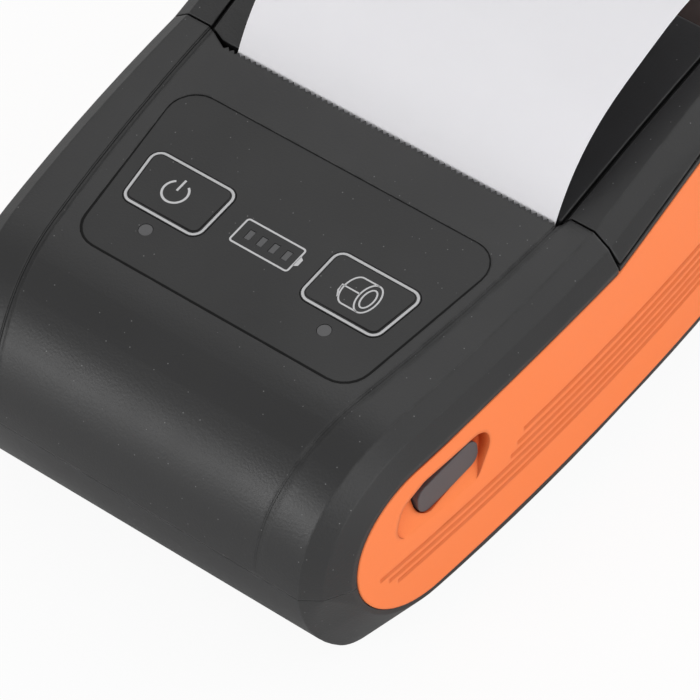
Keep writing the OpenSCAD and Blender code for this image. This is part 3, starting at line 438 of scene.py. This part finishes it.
roll_low, roll_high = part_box("paper_roll")
roll_axis = (Vector(roll_low) + Vector(roll_high)) / 2
ring_pitch = 0.35 * MM
roll_paper = wound_paper("roll_paper", (0.8, 0.8, 0.81), roll_axis.y, roll_axis.z, ring_pitch)

finish_of = {
    "case_black": black,
    "panel_orange": orange,
    "label_film": film,
    "indicator_lens": lens,
    "smoked_window": smoke,
    "bright_steel": steel,
    "sheet_steel": sheet_metal,
    "platen_rubber": rubber,
    "bush_plastic": bush_tan,
    "gear_plastic": white_gear,
    "pinion_brass": brass,
    "head_ceramic": ceramic,
    "plate_aluminium": alloy,
    "ribbon_film": amber,
    "part_black": inner_black,
    "button_grey": grey,
    "paper_white": paper,
    "core_card": card,
    "battery_wrap": blue,
    "contact_gold": brass,
    "led_white": led_white,
    "board_green": green,
}
slot_of = {s["node"]: s["material_slot"] for s in frame["record"]["subparts"]}
smooth_case = shading_group("smooth_case", math.radians(15))
smooth_works = shading_group("smooth_works", math.radians(32))
for name, node in nodes.items():
    for slot in node.material_slots:
        slot.material = roll_paper if name == "paper_roll" else finish_of[slot_of[name]]
    shade_smooth(node, smooth_case if slot_of[name] == "case_black" else smooth_works)


# Flat meshes on the deck, in the deck's own frame: u to the right, v to the rear and w up, in millimetres

DECK_SLOPE = math.radians(3)
TEAR_EDGE = Vector((0, -0.7, 42.2))
DECK_U = Vector((1, 0, 0))
DECK_V = Vector((0, math.cos(DECK_SLOPE), math.sin(DECK_SLOPE)))
DECK_W = DECK_U.cross(DECK_V)
PRINT_T = 0.02
CORNER_STEPS = 6


def deck_point(u, v, w):
    return (TEAR_EDGE + u * DECK_U + v * DECK_V + w * DECK_W) * MM


def finish_mesh(name, mesh, material, body):
    data = bpy.data.meshes.new(name)
    bmesh.ops.recalc_face_normals(mesh, faces=mesh.faces)
    mesh.to_mesh(data)
    mesh.free()
    data.materials.append(material)
    piece = bpy.data.objects.new(name, data)
    bpy.context.scene.collection.objects.link(piece)
    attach(piece, body)
    return piece


def bridge(mesh, rows):
    """Faces between closed rows of points, with a cap on the first and the last row."""
    for a, b in zip(rows, rows[1:]):
        for i in range(len(a)):
            j = (i + 1) % len(a)
            mesh.faces.new((a[i], a[j], b[j], b[i]))
    mesh.faces.new(rows[0])
    mesh.faces.new(rows[-1])


def add_band(mesh, first, second, low, closed):
    """A thin plate between two rows of points; closed rows make a ring."""
    high = low + PRINT_T
    rows = [
        [mesh.verts.new(deck_point(*p, w)) for p in row]
        for row, w in ((first, low), (second, low), (second, high), (first, high))
    ]
    count = len(first)
    for i in range(count if closed else count - 1):
        j = (i + 1) % count
        for a, b in zip(rows, rows[1:] + rows[:1]):
            mesh.faces.new((a[i], a[j], b[j], b[i]))
    if not closed:
        for i in (0, -1):
            mesh.faces.new([row[i] for row in rows])


def line_ring(mesh, points, width_at, low):
    """A closed outline along a loop of points, of the width that holds at each point."""
    first, second = [], []
    for before, point, after in zip(points[-1:] + points[:-1], points, points[1:] + points[:1]):
        along = (Vector(after) - Vector(before)).normalized()
        side = Vector((-along.y, along.x)) * width_at(point) / 2
        first.append(Vector(point) + side)
        second.append(Vector(point) - side)
    add_band(mesh, first, second, low, True)


def line_stroke(mesh, points, width, low):
    """An open stroke of the given width along points."""
    first, second = [], []
    last = len(points) - 1
    for i, point in enumerate(points):
        along = (Vector(points[min(i + 1, last)]) - Vector(points[max(i - 1, 0)])).normalized()
        side = Vector((-along.y, along.x)) * width / 2
        first.append(Vector(point) + side)
        second.append(Vector(point) - side)
    add_band(mesh, first, second, low, False)


def even(width):
    """The same width all along a line."""
    return lambda point: width


def arc_points(centre, radii, start, end, count):
    """Points along a part of an ellipse; angles in degrees."""
    turns = [math.radians(start + (end - start) * i / count) for i in range(count + 1)]
    return [(centre[0] + radii[0] * math.cos(t), centre[1] + radii[1] * math.sin(t)) for t in turns]


def ellipse_points(centre, radii, count):
    return arc_points(centre, radii, 0, 360, count)[:-1]


def corner_sides(corners, i):
    """A corner of an outline, the directions to the corners before and after it, and half its angle."""
    corner = Vector(corners[i])
    to_last = (Vector(corners[i - 1]) - corner).normalized()
    to_next = (Vector(corners[(i + 1) % len(corners)]) - corner).normalized()
    return corner, to_last, to_next, to_last.angle(to_next) / 2


def rounded_loop(corners, radius):
    """A closed outline with its corners rounded."""
    loop = []
    for i in range(len(corners)):
        corner, to_last, to_next, half = corner_sides(corners, i)
        reach = radius / math.tan(half)
        centre = corner + (to_last + to_next).normalized() * radius / math.sin(half)
        start = corner + to_last * reach - centre
        end = corner + to_next * reach - centre
        turn = start.angle_signed(end)
        for k in range(CORNER_STEPS + 1):
            a = -turn * k / CORNER_STEPS
            loop.append((
                centre.x + start.x * math.cos(a) - start.y * math.sin(a),
                centre.y + start.x * math.sin(a) + start.y * math.cos(a),
            ))
    return loop


def inset(corners, reach):
    """The corners of a convex outline, moved in by a reach from every side."""
    moved = []
    for i in range(len(corners)):
        corner, to_last, to_next, half = corner_sides(corners, i)
        moved.append(corner + (to_last + to_next).normalized() * reach / math.sin(half))
    return moved


# Keys: a printed outline, a raised middle with a painted shade line at its foot, and a sign on top

KEY_TOP = -20.92
KEY_BOTTOM = -30.49
KEY_INNER = 9.23
KEY_OUTER_TOP = 24.23
KEY_OUTER_BOTTOM = 22.86
KEY_CORNER = 1.6
KEY_LINE = 0.42
KEY_RISE = 0.2
SIGN_U = 16.84
SIGN_V = -25.73


def key_corners(side):
    return [
        (side * KEY_OUTER_TOP, KEY_TOP), (side * KEY_INNER, KEY_TOP),
        (side * KEY_INNER, KEY_BOTTOM), (side * KEY_OUTER_BOTTOM, KEY_BOTTOM),
    ]


def key_loop(side, reach):
    """The key's rounded outline, moved in by a reach."""
    return rounded_loop(inset(key_corners(side), reach), KEY_CORNER - reach)


def key_outline(side, body):
    mesh = bmesh.new()
    line_ring(mesh, rounded_loop(key_corners(side), KEY_CORNER), even(KEY_LINE), 0)
    finish_mesh("key_outline_" + body, mesh, print_grey, body)


def key_dome(side, body):
    """The embossed middle of a key: a low plateau with a rounded edge, inside the printed outline."""
    foot = -0.01
    edge = [(0.22, foot), (0.24, 0.5 * KEY_RISE), (0.32, 0.85 * KEY_RISE), (0.5, KEY_RISE)]
    mesh = bmesh.new()
    rows = [[mesh.verts.new(deck_point(*p, w)) for p in key_loop(side, reach)] for reach, w in edge]
    bridge(mesh, rows)
    shade_smooth(finish_mesh("key_dome_" + body, mesh, film, body), smooth_works)


def key_foot_shade(side, body):
    """A painted shade line at the foot of a key's raised middle, for the shade on its slope, wider along
    its lower and right edges.
    """
    centre = Vector((side * SIGN_U, SIGN_V))
    reach = 0.42
    shut_width = 0.08
    open_width = 0.2
    open_side = Vector((0.55, -0.83))
    below_top = 0.012

    def width_at(point):
        aside = (Vector(point) - centre).normalized()
        return shut_width + open_width * max(0.0, aside.dot(open_side))

    mesh = bmesh.new()
    line_ring(mesh, key_loop(side, reach), width_at, KEY_RISE - below_top)
    finish_mesh("key_foot_shade_" + body, mesh, painted_shade_dark, body)


def power_sign():
    radius = 2.0
    line = 0.36
    gap_half = 35
    stem_low = 0.3
    stem_high = 2.5
    mesh = bmesh.new()
    ring = arc_points((-SIGN_U, SIGN_V), (radius, radius), 90 + gap_half, 450 - gap_half, 36)
    line_stroke(mesh, ring, line, KEY_RISE)
    line_stroke(mesh, [(-SIGN_U, SIGN_V + stem_low), (-SIGN_U, SIGN_V + stem_high)], line, KEY_RISE)
    finish_mesh("power_sign", mesh, print_grey, "power_key")


def feed_sign():
    """A roll of paper seen from one side, with its loose end."""
    line = 0.26
    face_right = 1.2
    roll_length = 2.75
    flap_rise = 0.1
    flap_out = 0.4
    flap_bend = (0.15, -1.0)
    flap_end = (0.75, -2.0)
    face = (SIGN_U + face_right, SIGN_V)
    back = (face[0] - roll_length, SIGN_V)
    outer = (1.55, 2.68)
    inner = (0.9, 1.75)
    mesh = bmesh.new()
    line_ring(mesh, ellipse_points(face, outer, 36), even(line), KEY_RISE)
    line_ring(mesh, ellipse_points(face, inner, 28), even(line), KEY_RISE)
    for end in (-1, 1):
        edge = SIGN_V + end * outer[1]
        line_stroke(mesh, [(face[0], edge), (back[0], edge)], line, KEY_RISE)
    line_stroke(mesh, arc_points(back, outer, 90, 270, 18), line, KEY_RISE)
    flap_left = back[0] - outer[0] - flap_out
    flap = [(face[0] - outer[0], SIGN_V + flap_rise), (flap_left, SIGN_V + flap_rise)]
    for u, v in (flap_bend, flap_end):
        flap.append((flap_left + u, SIGN_V + v))
    line_stroke(mesh, flap, line, KEY_RISE)
    finish_mesh("feed_sign", mesh, print_grey, "feed_key")


# The painted shadow line round the label, and the battery gauge's outline

def share_of(value, start, length):
    """How far a value has come along a length: 0 up to its start, and 1 from its end."""
    return min(max((value - start) / length, 0), 1)


def label_gap_shade():
    """A painted shadow line round the label, for the shade in the gap at its edge, widest along its lower
    and right edges.
    """
    rear = -9
    front = -39.8
    rear_left, rear_right = -28.6, 29.6
    front_left, front_right = -24.6, 25.6
    corner = 4.5
    shut_width = 0.1
    open_width = 0.3
    low = -0.015

    def width_at(point):
        forward = share_of(-point[1], 20, 16)
        right = share_of(point[0], 10, 12) * share_of(-point[1], 9.5, 6)
        return shut_width + open_width * max(forward, right)

    outline = [(rear_left, rear), (front_left, front), (front_right, front), (rear_right, rear)]
    mesh = bmesh.new()
    line_ring(mesh, rounded_loop(outline, corner), width_at, low)
    finish_mesh("label_gap_shade", mesh, painted_shade_dark, "chassis")


def battery_outline():
    left, right, top, bottom = -5.15, 5.28, -23.55, -28.1
    corner = 0.45
    line = 0.3
    low = -0.04
    nub_in = 0.1
    nub_out = 0.55
    nub_half = 0.9
    nub_root = 0.75
    tip_half = 0.6
    middle = (top + bottom) / 2
    case = [(left, top), (left, bottom), (right, bottom), (right, top)]
    nub = [(nub_in, nub_half), (nub_out, tip_half), (nub_out, -tip_half), (nub_in, -nub_half)]
    root = [(right, middle + v) for v in (nub_half, nub_root, -nub_root, -nub_half)]
    tip = [(right + line / 2 + u, middle + v) for u, v in nub]
    mesh = bmesh.new()
    line_ring(mesh, rounded_loop(case, corner), even(line), low)
    add_band(mesh, root, tip, low, False)
    finish_mesh("battery_outline", mesh, print_grey, "chassis")


for key_side, key_body in ((-1, "power_key"), (1, "feed_key")):
    key_outline(key_side, key_body)
    key_dome(key_side, key_body)
    key_foot_shade(key_side, key_body)
label_gap_shade()
power_sign()
feed_sign()
battery_outline()


# Screws and the lid's spring: the solids are plain, so they are made again with recess, thread and coils.
# In millimetres; low is the height of a case screw's head face, and top that of a frame screw's

CASE_HEAD_R = 1.9
CASE_HEAD_H = 1.4
FRONT_SCREW = {"x": 26, "y": -49, "low": 3.6, "length": 18.0}
REAR_SCREW = {"x": 22, "y": 54, "low": 2.6, "length": 5.2}
FRAME_HEAD_R = 2.0
FRAME_HEAD_H = 1.2
FRAME_SCREW_X = (-22, 24)
FRAME_SCREW_Y = 7.9
FRAME_SCREW_TOP = 15.85
FRAME_SCREW_LENGTH = 5.85


def cross_loop(arm, half_width):
    """A cross-shaped loop: polar points of the four arms, as angle and radius."""
    tip = math.atan(half_width / arm)
    corner = math.pi / 4
    flank = (0.4, 0.6)
    loop = []
    for quarter in range(4):
        for turn in (-corner, -flank[1], -flank[0], -tip, 0.0, tip, *flank):
            radius = arm / math.cos(turn) if abs(turn) <= tip else half_width / math.sin(abs(turn))
            loop.append((quarter * math.pi / 2 + turn, radius))
    return loop


def screw(mesh, place, up, head_r, head_h, length):
    """A pan-head screw with a cross recess and a thread; its head's underside is at the place."""
    shank_r = 0.85
    pitch = 0.8
    thread = 0.22
    steps = 8
    rim = 0.02
    end_share = 0.5
    recess_floor = 0.45 * head_h
    recess_taper = 0.55
    arm = 0.62 * head_r
    arm_half = 0.15 * head_r
    cross = cross_loop(arm, arm_half)
    head_curve = ((0.72, 1.0), (0.88, 0.9), (0.97, 0.7), (1.0, 0.4), (0.98, 0.0))

    def row(height, radius_of):
        return [
            mesh.verts.new(Vector((
                place[0] + radius_of(angle, radius) * math.cos(angle),
                place[1] + radius_of(angle, radius) * math.sin(angle),
                place[2] + up * height,
            )) * MM)
            for angle, radius in cross
        ]

    rows = [row(recess_floor, lambda angle, radius: recess_taper * radius)]
    rows.append(row(head_h - rim, lambda angle, radius: radius))
    for share, height in head_curve:
        rows.append(row(height * head_h, lambda angle, radius, share=share: share * head_r))
    for k in range(int(length / pitch * steps)):
        depth = k * pitch / steps

        def ridge(angle, radius, depth=depth):
            wave = (depth / pitch - angle / (2 * math.pi)) % 1.0
            return shank_r - thread * abs(2 * wave - 1)

        rows.append(row(-depth - rim, ridge))
    rows.append(row(-length, lambda angle, radius: end_share * shank_r))
    bridge(mesh, rows)


def case_screws():
    """The four screws of the case, with their heads down in the underside."""
    mesh = bmesh.new()
    for at in (FRONT_SCREW, REAR_SCREW):
        for side in (-1, 1):
            place = (side * at["x"], at["y"], at["low"] + CASE_HEAD_H)
            screw(mesh, place, -1, CASE_HEAD_R, CASE_HEAD_H, at["length"])
    piece = finish_mesh("case_screws_threaded", mesh, steel, "chassis")
    shade_smooth(piece, smooth_works)
    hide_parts("case_screws")


def frame_screws():
    """The two screws that hold the mechanism, with their heads up."""
    mesh = bmesh.new()
    for x in FRAME_SCREW_X:
        place = (x, FRAME_SCREW_Y, FRAME_SCREW_TOP - FRAME_HEAD_H)
        screw(mesh, place, 1, FRAME_HEAD_R, FRAME_HEAD_H, FRAME_SCREW_LENGTH)
    piece = finish_mesh("frame_screws_threaded", mesh, steel, "chassis")
    shade_smooth(piece, smooth_works)
    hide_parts("frame_screws")


def lid_spring():
    """A close coil of round wire about the hinge pin."""
    wire_r = 0.27
    turns = 9
    sides = 8
    steps = 24
    low, high = (Vector(corner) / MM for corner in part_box("lid_spring"))
    middle = (low + high) / 2
    coil_r = (high.z - low.z) / 2 - wire_r
    length = high.x - low.x - 2 * wire_r
    mesh = bmesh.new()
    rows = []
    for k in range(turns * steps + 1):
        turn = 2 * math.pi * k / steps
        out = Vector((0, math.cos(turn), math.sin(turn)))
        x = low.x + wire_r + length * k / (turns * steps)
        centre = Vector((x, middle.y, middle.z)) + out * coil_r
        rows.append([
            mesh.verts.new((centre + (out * math.cos(a) + Vector((1, 0, 0)) * math.sin(a)) * wire_r) * MM)
            for a in (2 * math.pi * i / sides for i in range(sides))
        ])
    bridge(mesh, rows)
    piece = finish_mesh("lid_spring_coil", mesh, steel, "chassis")
    shade_smooth(piece, smooth_works)
    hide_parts("lid_spring")


case_screws()
frame_screws()
lid_spring()


# Stage, light and camera

def floor():
    """A pale floor that takes the object's shadow and looks nearly white to the camera."""
    size = 6.0
    below = 0.2 * MM
    glow_share = 0.93
    mesh = bpy.data.meshes.new("floor")
    mesh.from_pydata(
        [(-size, -size, 0), (size, -size, 0), (size, size, 0), (-size, size, 0)], [], [(0, 1, 2, 3)]
    )
    ground = bpy.data.objects.new("floor", mesh)
    bpy.context.scene.collection.objects.link(ground)
    ground.location.z = -below
    material, tree, shader = new_material("floor_white")
    make, link = tree.nodes.new, tree.links.new
    shader.inputs["Base Color"].default_value = (0.85, 0.85, 0.85, 1)
    shader.inputs["Roughness"].default_value = 0.9
    path = make("ShaderNodeLightPath")
    glow = make("ShaderNodeEmission")
    glow.inputs["Color"].default_value = (1, 1, 1, 1)
    mix = make("ShaderNodeMixShader")
    link(product(tree, path.outputs["Is Camera Ray"], glow_share), mix.inputs["Fac"])
    link(shader.outputs["BSDF"], mix.inputs[1])
    link(glow.outputs["Emission"], mix.inputs[2])
    link(mix.outputs["Shader"], tree.nodes["Material Output"].inputs["Surface"])
    mesh.materials.append(material)


def world():
    scene = bpy.context.scene
    scene.world = bpy.data.worlds.new("studio")
    scene.world.use_nodes = True
    back = scene.world.node_tree.nodes["Background"]
    back.inputs["Color"].default_value = (1, 1, 1, 1)
    back.inputs["Strength"].default_value = 0.55


def camera():
    """A long lens from the front, right and above, fitted to the photo's view of the keys and the teeth."""
    right = Vector((0.78505, 0.61682, -0.05686))
    up = Vector((-0.44226, 0.62241, 0.64576))
    back = right.cross(up).normalized()
    place = Vector((320.96, -367.64, 566.50)) * MM
    data = bpy.data.cameras.new("camera")
    data.sensor_width = 36.0
    data.lens = 257.14
    data.clip_start = 0.01
    data.clip_end = 50.0
    view = bpy.data.objects.new("camera", data)
    view.matrix_world = Matrix.Translation(place) @ Matrix((right, up, back)).transposed().to_4x4()
    bpy.context.scene.collection.objects.link(view)
    bpy.context.scene.camera = view


def area_light(name, place, aim, size, power):
    data = bpy.data.lights.new(name, "AREA")
    data.size = size
    data.energy = power
    light = bpy.data.objects.new(name, data)
    light.location = place
    light.rotation_mode = "QUATERNION"
    light.rotation_quaternion = (Vector(aim) - Vector(place)).to_track_quat("-Z", "Y")
    bpy.context.scene.collection.objects.link(light)


def lights():
    """Five soft lamps: two for the highlights on lid and nose, three that fill the sides and the rear."""
    middle = (0, 0, 0.03)
    nose = (0, -0.04, 0.03)
    rear = (0, 0.03, 0.05)
    area_light("rear_top", place=(-0.4, 0.44, 1.03), aim=middle, size=0.65, power=1.55)
    area_light("front_low", place=(-0.47, -0.95, 0.31), aim=nose, size=0.34, power=2.6)
    area_light("right_side", place=(0.95, -0.4, 0.38), aim=middle, size=0.8, power=3.9)
    area_light("rear_low", place=(0.55, 1.05, 0.35), aim=rear, size=0.6, power=2.5)
    area_light("right_rear", place=(0.75, 0.4, 0.85), aim=middle, size=0.6, power=1.0)


floor()
world()
camera()
lights()
bpy.context.scene.view_settings.view_transform = "Standard"
